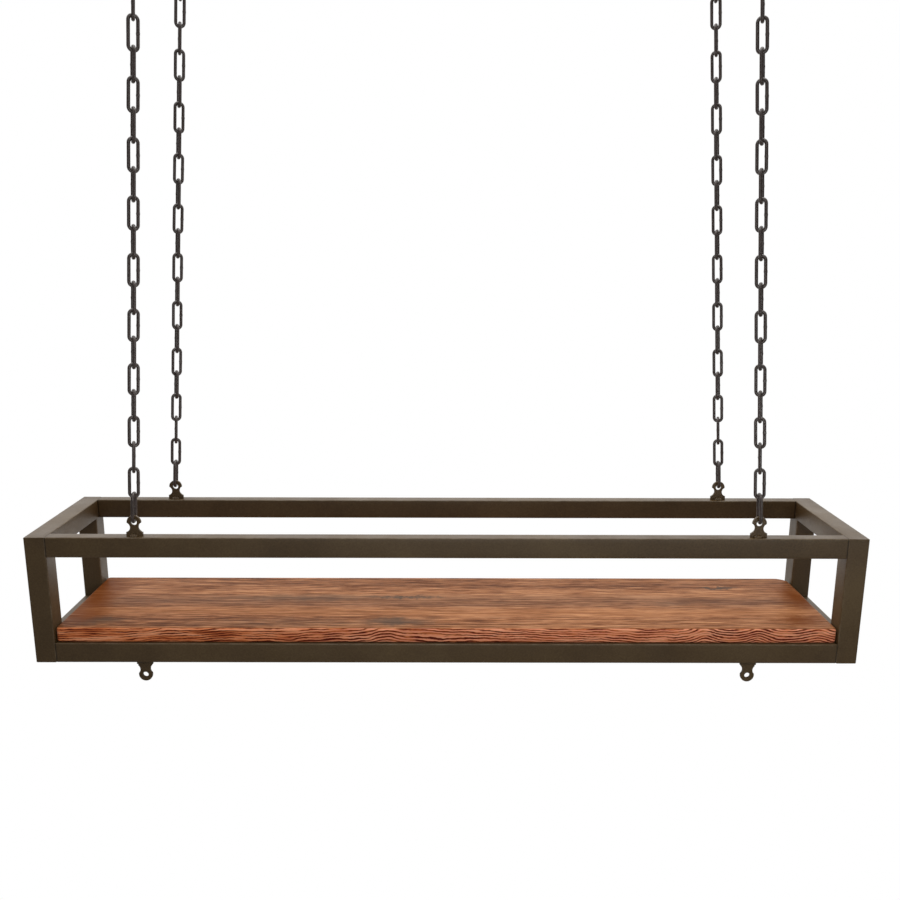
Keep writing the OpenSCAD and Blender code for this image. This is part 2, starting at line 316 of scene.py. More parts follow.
def board_edge(g, point):
    """Colour of the long edges, the thin dark wavy lines on them, and paler pink between the lines towards the
    right end, partly pale wood and partly a painted highlight.
    """
    x, _, z = g.axes(point)
    drop = g.around_zero(g.stretched(point, (6, 0, 14), 4, 0.55), 13)
    swirl = g.around_zero(g.stretched(point, (20, 0, 50), 4, 0.6), 4.0)
    lift = g.math("MULTIPLY", g.math("ABSOLUTE", g.math("ADD", x, 0.02)), 16)
    for place, reach, rise in EDGE_KNOTS:
        near = g.math("DIVIDE", g.math("SUBTRACT", x, place), reach)
        bell = g.math("DIVIDE", 1.0, g.math("ADD", 1.0, g.math("MULTIPLY", near, near)))
        lift = g.math("SUBTRACT", lift, g.math("MULTIPLY", bell, rise))
    height = g.math("ADD", g.math("MULTIPLY", z, EDGE_HALF_WAVES), lift)
    height = g.math("ADD", g.math("ADD", height, drop), swirl)
    wave = g.math("SINE", g.math("MULTIPLY", height, math.pi))

    # How dark the lines are: they come and go, and are fainter towards both ends
    thick = g.stretched(point, (26, 0, 160), 3, 0.6)
    sparse = g.stretched(point, (4, 0, 12), 2, 0.5)
    shift = g.math("ADD", g.math("MULTIPLY", thick, 2.4), g.around_zero(sparse, 3.4))
    shift = g.math("SUBTRACT", shift, g.fade(x, -0.10, -0.26, 0.0, 0.12))
    shift = g.math("SUBTRACT", shift, g.fade(x, 0.10, 0.24, 0.0, 0.30))
    broken = g.fade(g.stretched(point, (34, 0, 110), 3, 0.6), 0.38, 0.52, 0.25, 1.0)
    lines = g.math("MULTIPLY", g.fade(g.math("ADD", wave, shift), 0.9, 1.85), broken)

    edge = g.ramp(g.stretched(point, (22, 200, 240), 4, 0.6),
                  [(0.34, (0.48, 0.112, 0.034)), (0.50, (0.74, 0.228, 0.084)), (0.66, (0.94, 0.400, 0.210))])
    # Paler pink between the lines from the middle to the right end: pale wood, and a painted highlight towards
    # that end.
    pale_and_highlight = g.math("MULTIPLY", g.fade(x, -0.30, -0.05), g.fade(wave, 0.3, -1.0, 0.0, 0.45))
    edge = g.mix(pale_and_highlight, edge, rgb(1.0, 0.45, 0.31))
    return g.mix(g.math("MULTIPLY", lines, 0.95), edge, rgb(0.080, 0.007, 0.005)), lines


def board_end(g, point):
    """Colour of the close end grain."""
    rings = g.stretched(point, (0, 500, 900), 4, 0.7)
    return g.ramp(rings, [(0.35, (0.12, 0.040, 0.020)), (0.65, (0.34, 0.150, 0.080))])


def stained_wood():
    """Reddish stained board: the faces, the long edges and the ends each have their own figure."""
    g = material("stained_wood")
    point = g.moved(g.place(), tuple(-BOARD_MIDDLE))
    bend = g.stretched(point, (2.2, 7, 7), 3, 0.5)
    waved = g.add("CombineXYZ", {1: g.math("MULTIPLY", bend, 0.014), 2: g.math("MULTIPLY", bend, 0.004)})
    grain_point = g.moved(point, waved.outputs[0])
    streaks = g.stretched(grain_point, (13, 270, 270), 4, 0.6)
    pores = g.stretched(grain_point, (36, 900, 900), 3, 0.65)

    x, y, _ = g.axes(point)
    edge, lines = board_edge(g, point)
    on_edge = g.fade(g.math("ABSOLUTE", y), BOARD_HALF.y - 0.0022, BOARD_HALF.y - 0.0008)
    on_end = g.fade(g.math("ABSOLUTE", x), BOARD_HALF.x - 0.0020, BOARD_HALF.x - 0.0006)
    colour = g.mix(on_edge, board_face(g, point, grain_point, streaks, pores), edge)
    colour = g.mix(on_end, colour, board_end(g, point))

    rough = g.fade(streaks, 0.3, 0.7, 0.56, 0.42)
    relief = g.math("ADD", g.math("MULTIPLY", streaks, 0.6), g.math("MULTIPLY", pores, 0.4))
    cut = g.math("MULTIPLY", g.math("MULTIPLY", lines, on_edge), -0.6)
    bump = g.bump(g.math("ADD", relief, cut), 0.0004, 0.8)
    return principled(g, colour, rough, bump, specular_ior_level=0.06)


# ---- Meshes ----

def finish_piece(name, mesh, finish, body, node, sharp=40):
    """Makes a mesh the piece that rides on a body and stands for a CAD node."""
    mesh.materials.clear()
    mesh.materials.append(finish)
    mesh.shade_smooth()
    mesh.set_sharp_from_angle(angle=math.radians(sharp))
    obj = bpy.data.objects.new(name, mesh)
    bpy.context.scene.collection.objects.link(obj)
    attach(obj, body)
    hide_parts(node)


def circle(centre, radius, across, up, count):
    """Points round a circle in the plane of two unit vectors."""
    turns = [k / count * 2 * math.pi for k in range(count)]
    return [centre + radius * (math.cos(turn) * across + math.sin(turn) * up) for turn in turns]


class Shell:
    """Collects rings of vertices, how rubbed each vertex is or where shade is painted on it, and the faces
    between the rings.
    """

    def __init__(self):
        self.vertices = []
        self.faces = []
        self.wear_and_shade = []

    def ring(self, points, wear_and_shade=0.0):
        """Adds one ring and returns where it starts."""
        start = len(self.vertices)
        self.vertices.extend(points)
        self.wear_and_shade.extend(wear_and_shade if isinstance(wear_and_shade, list) else [wear_and_shade] * len(points))
        return start

    def bridge(self, a, b, count):
        """Quads between two rings of count points."""
        for i in range(count):
            j = (i + 1) % count
            self.faces.append((a + i, a + j, b + j, b + i))

    def cap(self, start, count, flip=False):
        order = list(range(start, start + count))
        self.faces.append(tuple(reversed(order)) if flip else tuple(order))

    def loft(self, rings, wear_and_shade=None, loop=False):
        """Skins rings with the same number of points, closed into a loop or capped at both ends."""
        count = len(rings[0])
        starts = [self.ring(points, wear_and_shade[i] if wear_and_shade else 0.0) for i, points in enumerate(rings)]
        for a, b in zip(starts, starts[1:]):
            self.bridge(a, b, count)
        if loop:
            self.bridge(starts[-1], starts[0], count)
        else:
            self.cap(starts[0], count, flip=True)
            self.cap(starts[-1], count)

    def piece(self, name, finish, body, node, sharp=40):
        """Turns what was collected into a finished piece."""
        mesh = bpy.data.meshes.new(name)
        mesh.from_pydata(self.vertices, [], self.faces)
        mesh.attributes.new("wear_and_shade", "FLOAT", "POINT").data.foreach_set("value", self.wear_and_shade)
        finish_piece(name, mesh, finish, body, node, sharp)


# ---- Tube frame ----

TUBE_WALL = 0.0016
TUBE_CORNER = 0.0015
TUBE_INNER_CORNER = 0.0004
TUBE_EASE = 0.0003
# Distance from each end of a tube to the ring where the rim's rubbing or painted shade stops.
SEAM = 0.0016
RUBBED = 1.0
# Painted shade: a rim marked -1 is coloured near-black in the coat.
SEAM_SHADE = -1.0
CORNER_STEPS = 6
FLAT_STEPS = 4
TUBE_STATION = 0.030
TUBE_RIPPLE = 0.00006
TUBE_SEED_STEP = 7


def tube_profile(width, height, radius):
    """Points round a rectangle with rounded corners, and how rubbed each one is."""
    points = []
    flat_u, flat_v = width / 2 - radius, height / 2 - radius
    signs = ((1, 1), (-1, 1), (-1, -1), (1, -1))
    centres = [Vector((flat_u * a, flat_v * b)) for a, b in signs]
    for corner, centre in enumerate(centres):
        turn = corner * math.pi / 2
        for step in range(CORNER_STEPS + 1):
            angle = turn + step / CORNER_STEPS * math.pi / 2
            share = math.sin(step / CORNER_STEPS * math.pi)
            points.append((centre.x + radius * math.cos(angle), centre.y + radius * math.sin(angle), share))
        following = centres[(corner + 1) % 4]
        out = Vector((math.cos(turn + math.pi / 2), math.sin(turn + math.pi / 2))) * radius
        for step in range(1, FLAT_STEPS):
            p = (centre + out).lerp(following + out, step / FLAT_STEPS)
            points.append((p.x, p.y, 0.0))
    return points


def tube(name, width, place, low_end, high_end, seed, rim_wear_and_shade=RUBBED):
    """A hollow tube, width across and TUBE high, that stops at low_end(u, v) and high_end(u, v).

    place(u, v, s) turns a point of the profile and a distance along the tube into a point in space.
    The last argument is how rubbed the tube's rims are, or -1 for shade painted where a long rail meets a post.
    """
    shell = Shell()
    outer = tube_profile(width, TUBE, TUBE_CORNER)
    inner = tube_profile(width - 2 * TUBE_WALL, TUBE - 2 * TUBE_WALL, TUBE_INNER_CORNER)
    count = len(outer)
    length = high_end(0, 0) - low_end(0, 0)
    stations = max(2, round(length / TUBE_STATION))
    shrink = 1 - 2 * TUBE_EASE / TUBE

    def outer_ring(share, offset, scale):
        points = []
        for u, v, _ in outer:
            low = low_end(u, v)
            high = high_end(u, v)
            s = low + (high - low) * share + offset
            dent = 1 + noise.noise(Vector((s * 14, u * 30 + seed, v * 30))) * TUBE_RIPPLE / TUBE * 2
            points.append(place(u * scale * dent, v * scale * dent, s))
        return points

    rings = [outer_ring(0, 0, shrink), outer_ring(0, TUBE_EASE, 1), outer_ring(0, SEAM, 1)]
    rings += [outer_ring(i / stations, 0, 1) for i in range(1, stations)]
    rings += [outer_ring(1, -SEAM, 1), outer_ring(1, -TUBE_EASE, 1), outer_ring(1, 0, shrink)]
    rub = [share for _, _, share in outer]
    # The rims are rubbed, or on the long rails carry painted shade where they meet the posts.
    rims = (0, 1, len(rings) - 2, len(rings) - 1)
    starts = [shell.ring(points, rim_wear_and_shade if i in rims else rub) for i, points in enumerate(rings)]
    for a, b in zip(starts, starts[1:]):
        shell.bridge(a, b, count)
    inside = [shell.ring([place(u, v, end(u, v)) for u, v, _ in inner]) for end in (low_end, high_end)]
    shell.bridge(inside[1], inside[0], count)
    shell.bridge(inside[0], starts[0], count)
    shell.bridge(starts[-1], inside[1], count)
    shell.piece(name + "_tube", COAT, "shelf", name)


def build_frame():
    """Four mitred posts, four mitred side rails and four long rails between the end frames."""
    half = TUBE / 2
    post_x = FRAME_HIGH.x - half
    post_y = FRAME_HIGH.y - half
    rail_y = FRAME_HIGH.y - RAIL_DEPTH / 2
    rail_end = FRAME_HIGH.x - TUBE
    seed = 0
    for corner, sx, sy in CORNERS:
        def place(u, v, s, sx=sx, sy=sy):
            return Vector((sx * post_x + u, sy * post_y + v, s))

        def low(u, v, sy=sy):
            return FRAME_LOW.z + half - sy * v

        def high(u, v, sy=sy):
            return FRAME_HIGH.z - half + sy * v
        seed += TUBE_SEED_STEP
        tube(corner + "_post", TUBE, place, low, high, seed)
    for level, sz in RAIL_LEVELS.items():
        middle = FRAME_HIGH.z - half if sz > 0 else FRAME_LOW.z + half
        for side, sx in SIDES.items():
            def place(u, v, s, sx=sx, middle=middle):
                return Vector((sx * post_x - u, s, middle + v))

            def low(u, v, sz=sz):
                return FRAME_LOW.y + half - sz * v

            def high(u, v, sz=sz):
                return FRAME_HIGH.y - half + sz * v
            seed += TUBE_SEED_STEP
            tube(f"{level}_{side}_side_rail", TUBE, place, low, high, seed)
        for depth, sy in DEPTHS.items():
            def place(u, v, s, sy=sy, middle=middle):
                return Vector((s, sy * rail_y + u, middle + v))

            def low(u, v):
                return -rail_end

            def high(u, v):
                return rail_end
            seed += TUBE_SEED_STEP
            # The long rails' rims get painted shade where they butt against the posts.
            tube(f"{level}_{depth}_rail", RAIL_DEPTH, place, low, high, seed, SEAM_SHADE)


# ---- Board ----

BOARD_CORNER = 0.005
REAR_RIGHT_CORNER = 0.018
BOARD_EASE = 0.0028
UNDER_EASE = 0.0006
BOARD_STATION = 0.0016
BOARD_END_STEPS = 10
EASE_STEPS = 4
EDGE_STEPS = 10
TOP_STEPS = 62
UNDER_STEPS = 24
RELIEF = 0.00022


def board_section(half_width, half_height, ease):
    """Points round one cross-section of the board in the Y-Z plane, from the front lower edge upwards."""
    flat_y = half_width - ease
    flat_z = half_height - ease
    points = []

    def corner(y, z, start):
        for step in range(EASE_STEPS + 1):
            angle = start - step / EASE_STEPS * math.pi / 2
            points.append((y + ease * math.cos(angle), z + ease * math.sin(angle)))

    def run(a, b, steps):
        for i in range(1, steps):
            points.append((a[0] + (b[0] - a[0]) * i / steps, a[1] + (b[1] - a[1]) * i / steps))

    run((-half_width, -flat_z), (-half_width, flat_z), EDGE_STEPS)
    corner(-flat_y, flat_z, math.pi)
    run((-flat_y, half_height), (flat_y, half_height), TOP_STEPS)
    corner(flat_y, flat_z, math.pi / 2)
    run((half_width, flat_z), (half_width, -flat_z), EDGE_STEPS)
    corner(flat_y, -flat_z, 0)
    run((flat_y, -half_height), (-flat_y, -half_height), UNDER_STEPS)
    corner(-flat_y, -flat_z, -math.pi / 2)
    return points


def rounded(reach, radius):
    """How far a quarter circle of this radius has come in, at this distance from its end."""
    inside = min(max(reach, 0), radius)
    return radius - math.sqrt(radius ** 2 - (radius - inside) ** 2)


def build_board():
    """The board, with round corners, eased edges and a shallow brushed relief along the grain."""
    half = BOARD_HALF
    span = half.x - BOARD_CORNER
    plain = round(2 * span / BOARD_STATION)
    ends = [half.x - BOARD_CORNER * (1 - math.sin(i / BOARD_END_STEPS * math.pi / 2))
            for i in range(1, BOARD_END_STEPS + 1)]
    xs = [-x for x in reversed(ends)] + [-span + i * 2 * span / plain for i in range(plain + 1)] + ends
    shell = Shell()
    rings = []
    for x in xs:
        reach = half.x - abs(x)
        width = half.y - rounded(reach, BOARD_CORNER)
        rear = half.y - rounded(reach, REAR_RIGHT_CORNER if x > 0 else BOARD_CORNER)
        height = half.z - rounded(reach, BOARD_EASE)
        under = half.z - rounded(reach, UNDER_EASE)
        ring = []
        for y, z in board_section(width, height, BOARD_EASE):
            brush = noise.noise(Vector((x * 9, y * 240, z * 240)))
            slow = noise.noise(Vector((x * 5 + 9, y * 30, z * 30)))
            sink = RELIEF * (0.5 + 0.35 * brush + 0.5 * slow)
            centre_y = max(-width + BOARD_EASE, min(width - BOARD_EASE, y))
            centre_z = max(-height + BOARD_EASE, min(height - BOARD_EASE, z))
            out = Vector((0, y - centre_y, z - centre_z)).normalized()
            across = y * rear / width if y > 0 else y
            level = z if z > 0 else z * under / height
            ring.append(BOARD_MIDDLE + Vector((x, across, level)) - out * sink)
        rings.append(ring)
    shell.loft(rings)
    shell.piece("wood_board", WOOD, "shelf", "shelf_board", sharp=60)


# ---- Screws under the bottom rails ----

SCREW_D = 0.004
HEAD_D = 0.008
HEAD_T = 0.0024
HEAD_EASE = 0.0001
HEAD_RINGS = 16
HEAD_AROUND = 64
RECESS_ARM = 0.00055
RECESS_REACH = 0.0021
RECESS_DEPTH = 0.0013
SCREW_POINT = 0.002


def recess(x, y):
    """Depth of the cross slot at a point of a screw's head."""
    across = min(abs(x), abs(y))
    along = max(abs(x), abs(y))
    side = max(0.0, min(1.0, (RECESS_ARM * 1.5 - across) / (RECESS_ARM * 0.5)))
    end = max(0.0, min(1.0, (RECESS_REACH - along) / (RECESS_ARM * 0.8)))
    return RECESS_DEPTH * side * end


def screw_rings(x, y, bottom, top):
    """Rings of one pan-head screw, from the middle of its head up to its point."""
    def ring(radius, z, slotted=False):
        points = []
        for k in reversed(range(HEAD_AROUND)):
            angle = k / HEAD_AROUND * 2 * math.pi
            across, along = radius * math.cos(angle), radius * math.sin(angle)
            dip = recess(across, along) if slotted else 0
            points.append(Vector((x + across, y + along, z + dip)))
        return points

    rings = []
    for i in range(1, HEAD_RINGS + 1):
        turn = i / HEAD_RINGS * math.pi / 2
        rise = HEAD_T * 0.75 * (1 - math.cos(turn)) ** 1.5
        rings.append(ring(HEAD_D / 2 * math.sin(turn), bottom + rise, slotted=True))
    shoulder = bottom + HEAD_T
    rings.append(ring(HEAD_D / 2, shoulder - HEAD_EASE))
    rings.append(ring(HEAD_D / 2 - HEAD_EASE, shoulder))
    rings.append(ring(SCREW_D / 2, shoulder))
    rings.append(ring(SCREW_D / 2, top - SCREW_POINT))
    rings.append(ring(SCREW_D / 2 * 0.2, top))
    return rings


def build_screws():
    """Six pan-head screws, their heads under the bottom rails and their shanks up in the board."""
    low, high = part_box("board_screws")
    shell = Shell()
    for y in (low.y + HEAD_D / 2, high.y - HEAD_D / 2):
        for x in (low.x + HEAD_D / 2, 0, high.x - HEAD_D / 2):
            shell.loft(screw_rings(x, y, low.z, high.z))
    shell.piece("board_fixing_screws", ZINC, "shelf", "board_screws")


# ---- Eye tabs and their welds ----

TAB_FOOT_H = 0.005
TAB_RING_D = 0.017
TAB_NECKS = {"upper": 0.010, "lower": 0.0125}
EYES = {"upper": 0.0074, "lower": 0.0068}
TAB_EASE = 0.00035
ARC_STEPS = 20
HOLE_STEPS = 40


def tab_outline(foot_w, neck_w, eye_h):
    """Outline of a tab: square foot, waisted neck and ring, from its lower right round to its lower left."""
    waist_r = (eye_h - TAB_FOOT_H) / 2
    ring_r = TAB_RING_D / 2
    waist = Vector((neck_w / 2 + waist_r, TAB_FOOT_H + waist_r))
    reach = waist.x - ring_r
    dip = math.asin(reach / waist_r)
    right = [(foot_w / 2, 0), (foot_w / 2, TAB_FOOT_H), (ring_r, TAB_FOOT_H)]
    for i in range(ARC_STEPS + 1):
        angle = 1.5 * math.pi - dip - i / ARC_STEPS * (math.pi - 2 * dip)
        right.append((waist.x + waist_r * math.cos(angle), waist.y + waist_r * math.sin(angle)))
    turns = [i / (2 * ARC_STEPS) * math.pi for i in range(2 * ARC_STEPS + 1)]
    ring = [(ring_r * math.cos(turn), eye_h + ring_r * math.sin(turn)) for turn in turns]
    left = [(-x, y) for x, y in reversed(right)]
    return right + ring + left


def plate(name, outline, hole_y, hole_r, thickness):
    """A flat plate with a round hole and eased edges, cut from a filled curve in the X-Y plane."""
    curve = bpy.data.curves.new(name, "CURVE")
    curve.dimensions = "2D"
    curve.fill_mode = "BOTH"
    curve.extrude = thickness / 2 - TAB_EASE
    curve.bevel_depth = TAB_EASE
    curve.bevel_resolution = 2
    curve.offset = -TAB_EASE
    turns = [i / HOLE_STEPS * 2 * math.pi for i in range(HOLE_STEPS)]
    around = [(hole_r * math.cos(turn), hole_y + hole_r * math.sin(turn)) for turn in turns]
    for points in (outline, around):
        spline = curve.splines.new("POLY")
        spline.points.add(len(points) - 1)
        for target, (x, y) in zip(spline.points, points):
            target.co = (x, y, 0, 1)
        spline.use_cyclic_u = True
    holder = bpy.data.objects.new(name, curve)
    mesh = bpy.data.meshes.new_from_object(holder)
    bpy.data.objects.remove(holder)
    return mesh


def build_tabs():
    """An eye tab over and under the frame at each corner."""
    for corner, *_ in CORNERS:
        for level, sz in TAB_LEVELS.items():
            node = f"{corner}_{level}_tab"
            low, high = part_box(node)
            eye_h = high.z - low.z - TAB_RING_D / 2
            outline = tab_outline(high.x - low.x, TAB_NECKS[level], eye_h)
            mesh = plate(node + "_plate", outline, eye_h, EYES[level] / 2, high.y - low.y)
            foot = Vector(((low.x + high.x) / 2, (low.y + high.y) / 2, low.z if sz > 0 else high.z))
            stand = Matrix.Rotation(sz * math.pi / 2, 4, "X")
            mesh.transform(Matrix.Translation(foot) @ stand)
            finish_piece(node + "_plate", mesh, COAT, "shelf", node)


WELD_HALF = 0.0052
WELD_REACH = 0.0038
WELD_ROOT = 0.0004
WELD_SEED_STEP = 3.7
WELD_STEPS = 36
WELD_AROUND = 14


def weld_lump(shell, centre, out, up, seed):
    """A short lumpy bead along X in the corner between a tab's face and a rail."""
    rings = []
    for i in range(WELD_STEPS + 1):
        share = i / WELD_STEPS * 2 - 1
        taper = math.sqrt(max(0.0, 1 - share ** 4)) * 0.96 + 0.04
        ripple = 1 + 0.09 * math.cos(share * 13 + seed) + 0.12 * noise.noise(Vector((share * 3, seed, 0)))
        radius = WELD_REACH * taper * ripple
        ring = []
        for k in range(WELD_AROUND):
            angle = k / (WELD_AROUND - 1) * math.pi * 0.62 - 0.06 * math.pi
            lump = 1 + 0.08 * noise.noise(Vector((share * 5, angle * 3, seed)))
            y = max(radius * math.cos(angle) * lump, -WELD_ROOT)
            z = max(radius * 0.8 * math.sin(angle) * lump, -WELD_ROOT)
            ring.append(centre + Vector((share * WELD_HALF, out * y, up * z)))
        ring.append(centre + Vector((share * WELD_HALF, -out * WELD_ROOT, -up * WELD_ROOT)))
        rings.append(ring if out * up > 0 else list(reversed(ring)))
    shell.loft(rings)


def build_welds():
    """The beads that hold the tabs to the rails, on both faces of each tab."""
    for level, sz in TAB_LEVELS.items():
        edge = FRAME_HIGH.z if sz > 0 else FRAME_LOW.z
        shell = Shell()
        seed = 0
        for corner, *_ in CORNERS:
            low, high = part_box(f"{corner}_{level}_tab")
            for out, face in ((-1, low.y), (1, high.y)):
                seed += WELD_SEED_STEP
                centre = Vector(((low.x + high.x) / 2 + 0.0012 * math.sin(seed), face, edge))
                weld_lump(shell, centre, out, sz, seed)
        name = f"{level}_tab_welds"
        shell.piece(name + "_beads", COAT, "shelf", name, sharp=60)


# ---- Chains ----

LINK_COUNT = 22
WIRE_R = 0.002
RUN_BEND = 0.005
END_BEND = 0.006
LINK_PLAY = 0.0003
EYE_TURN = 3
TURN_STEP = 7
CHAIN_TURN = 30
LINK_AROUND = 16
CROWN_STEPS = 14
LEG_STEPS = 12
LINK_WELD = 0.00028
LINK_WELD_REACH = 0.0012
LINK_TURN_PLAY = math.radians(3.5)
LINK_SWAY = math.radians(0.9)
CHAIN_SEED_STEP = 11.0


def link_rings(length, bend, seed):
    """Rings of one long link in the X-Z plane, with a weld half way up one leg, and each ring's wear."""
    leg = length - 2 * (bend + WIRE_R)
    line = []
    for i in range(LEG_STEPS):
        line.append((Vector((bend, 0, -leg / 2 + leg * i / LEG_STEPS)), 0.0))
    for i in range(CROWN_STEPS):
        angle = i / CROWN_STEPS * math.pi
        line.append((Vector((bend * math.cos(angle), 0, leg / 2 + bend * math.sin(angle))), angle))
    for i in range(LEG_STEPS):
        line.append((Vector((-bend, 0, leg / 2 - leg * i / LEG_STEPS)), math.pi))
    for i in range(CROWN_STEPS):
        angle = math.pi + i / CROWN_STEPS * math.pi
        line.append((Vector((bend * math.cos(angle), 0, -leg / 2 + bend * math.sin(angle))), angle))
    rings, wear_and_shade = [], []
    for centre, angle in line:
        out = Vector((math.cos(angle), 0, math.sin(angle)))
        bulge = 0.0
        if centre.x > bend * 0.99:
            bulge = LINK_WELD * math.exp(-(centre.z / LINK_WELD_REACH) ** 2)
        uneven = 1 - 0.02 * (1 + noise.noise(Vector((centre.x * 90, seed, centre.z * 60))))
        radius = WIRE_R * uneven + bulge
        rings.append(circle(centre, radius, out, Vector((0, 1, 0)), LINK_AROUND))
        crown = max(0.0, abs(centre.z) - leg / 2) / bend
        wear_and_shade.append(min(1.0, crown * 1.2 + (0.6 if bulge > LINK_WELD / 3 else 0.0)))
    return rings, wear_and_shade


def chain_frame(corner):
    """The chain's own frame, at the end link's centre with Z up the chain, and the pitch of its links."""
    ends = [sum(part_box(f"{corner}_{part}"), Vector()) / 2 for part in ("end_link", "top_link")]
    along = ends[1] - ends[0]
    lean = math.atan2(along.x, along.z)
    return Matrix.Translation(ends[0]) @ Matrix.Rotation(lean, 4, "Y"), along.length / (LINK_COUNT - 1)


def link_twist(i):
    """Turn of link i away from square: it grows from both ends of the chain to the middle."""
    return math.radians(min(EYE_TURN + (i - 1) * TURN_STEP, CHAIN_TURN, (LINK_COUNT - i) * TURN_STEP))


def build_chain(corner, sx, seed):
    """One chain: the end link in the tab's eye, the run of links, and the top link in the hook."""
    base, pitch = chain_frame(corner)
    length = pitch + LINK_PLAY + 4 * WIRE_R
    parts = (("end_link", "shackle", 1, 1),
             ("chain", "run", 2, LINK_COUNT - 1),
             ("top_link", "hanger", LINK_COUNT, LINK_COUNT))
    for part, body, first, last in parts:
        shell = Shell()
        for i in range(first, last + 1):
            bend = RUN_BEND if part == "chain" else END_BEND
            rings, wear_and_shade = link_rings(length, bend, seed + i * 3.1)
            turn = (0 if i % 2 == 0 else math.pi / 2) - sx * link_twist(i)
            sway = 0.0
            if part == "chain":
                turn += LINK_TURN_PLAY * noise.noise(Vector((seed, i * 1.7, 0.3)))
                sway = LINK_SWAY * noise.noise(Vector((seed, i * 2.3, 5.1)))
            at = (base @ Matrix.Translation((0, 0, (i - 1) * pitch))
                  @ Matrix.Rotation(turn, 4, "Z") @ Matrix.Rotation(sway, 4, "Y"))
            shell.loft([[at @ p for p in ring] for ring in rings], wear_and_shade=wear_and_shade, loop=True)
        node = f"{corner}_{part}"
        shell.piece(node + "_wire", CHAIN, f"{corner}_{body}", node)


# ---- Ceiling hooks ----

HOOK_WIRE_R = 0.0025
HOOK_R = 0.010
NECK_R = 0.006
SHANK = 0.008
COLLAR_R = 0.0075
COLLAR_T = 0.002
COLLAR_BORE_R = 0.002
COLLAR_EASE = 0.0005
COLLAR_AROUND = 40
THREAD_TIP = 0.006
THREAD_PITCH = 0.0018
THREAD_CORE = 0.0018
THREAD_STEPS = 9
THREAD_FADE = 0.004
HOOK_AROUND = 20
SHANK_STEPS = 4
NECK_STEPS = 12
CURVE_STEPS = 60
TIP_STEPS = 6
HOOK_END = math.radians(390)
WIRE_WEAR = 0.25
COLLAR_WEAR = 0.4
TIP_WEAR = 0.8


def lathe(shell, at, outline, around, wear_and_shade):
    """Turns (radius, z) points into a closed solid about a vertical axis."""
    turns = [k / around * 2 * math.pi for k in range(around)]
    rings = [[at @ Vector((r * math.cos(turn), r * math.sin(turn), z)) for turn in turns] for r, z in outline]
    shell.loft(rings, wear_and_shade=[wear_and_shade] * len(rings))


def hook_path():
    """Centre line of the hook below the ceiling, in the Y-Z plane, with the angle of the ring at each point."""
    neck = math.acos(NECK_R / (HOOK_R + NECK_R))
    shank_end = -COLLAR_T - SHANK
    centre_z = shank_end - (HOOK_R + NECK_R) * math.sin(neck)
    path = [(Vector((0, 0, shank_end + SHANK * i / SHANK_STEPS)), 0.0) for i in range(SHANK_STEPS, 0, -1)]
    for i in range(NECK_STEPS + 1):
        angle = -neck * i / NECK_STEPS
        y = -NECK_R + NECK_R * math.cos(angle)
        path.append((Vector((0, y, shank_end + NECK_R * math.sin(angle))), angle))
    start = math.pi - neck
    for i in range(1, CURVE_STEPS + 1):
        angle = start + (HOOK_END - start) * i / CURVE_STEPS
        point = Vector((0, HOOK_R * math.cos(angle), centre_z + HOOK_R * math.sin(angle)))
        path.append((point, angle + math.pi))
    return path


def thread_rings(top):
    """Rings of the threaded shaft, from its tip down to the ceiling plane."""
    rings = []
    steps = int(top / THREAD_PITCH * THREAD_STEPS)
    for i in range(steps + 1):
        z = top * (1 - i / steps)
        taper = min(1.0, 0.2 + 0.8 * (top - z) / THREAD_TIP)
        ring = []
        for k in range(HOOK_AROUND):
            angle = k / HOOK_AROUND * 2 * math.pi
            turn = (z / THREAD_PITCH - angle / (2 * math.pi)) % 1.0
            ridge = max(0.0, 1 - abs(turn - 0.5) * 3.2)
            depth = (HOOK_WIRE_R - THREAD_CORE) * ridge * min(1.0, z / THREAD_FADE)
            radius = (THREAD_CORE + depth) * taper
            ring.append(Vector((radius * math.cos(angle), radius * math.sin(angle), z)))
        rings.append(ring)
    return rings


def build_hook(corner, sy):
    """A screw hook: threaded shaft above the ceiling plane, collar, shank and open curve, with a round end."""
    low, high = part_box(corner + "_hook")
    tab_low, tab_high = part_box(corner + "_upper_tab")
    place = ((low.x + high.x) / 2, (tab_low.y + tab_high.y) / 2, 0)
    at = Matrix.Translation(place) @ Matrix.Diagonal((1, sy, 1, 1))
    side = Vector((1, 0, 0))
    rings = thread_rings(high.z)
    wear_and_shade = [TIP_WEAR] * len(rings)
    for centre, angle in hook_path():
        out = Vector((0, math.cos(angle), math.sin(angle)))
        rings.append(circle(centre, HOOK_WIRE_R, side, out, HOOK_AROUND))
        wear_and_shade.append(WIRE_WEAR)
    heading = Vector((0, -math.sin(angle + math.pi), math.cos(angle + math.pi)))
    for i in range(1, TIP_STEPS + 1):
        lift = math.sin(i / (TIP_STEPS + 0.5) * math.pi / 2) * HOOK_WIRE_R
        radius = math.sqrt(HOOK_WIRE_R ** 2 - lift ** 2)
        rings.append(circle(centre + heading * lift, radius, side, out, HOOK_AROUND))
        wear_and_shade.append(TIP_WEAR)
    shell = Shell()
    shell.loft([[at @ p for p in (ring if sy < 0 else reversed(ring))] for ring in rings], wear_and_shade=wear_and_shade)
    outline = [(COLLAR_BORE_R, 0.0),
               (COLLAR_R - COLLAR_EASE, 0.0),
               (COLLAR_R, -COLLAR_EASE),
               (COLLAR_R, -COLLAR_T + 2 * COLLAR_EASE),
               (COLLAR_R - 2 * COLLAR_EASE, -COLLAR_T + 0.5 * COLLAR_EASE),
               (HOOK_WIRE_R + COLLAR_EASE, -COLLAR_T),
               (COLLAR_BORE_R, -COLLAR_T)]
    lathe(shell, at, outline, COLLAR_AROUND, COLLAR_WEAR)
    shell.piece(corner + "_screw_hook", HOOK, "ceiling_hooks", corner + "_hook")


# ---- Studio ----

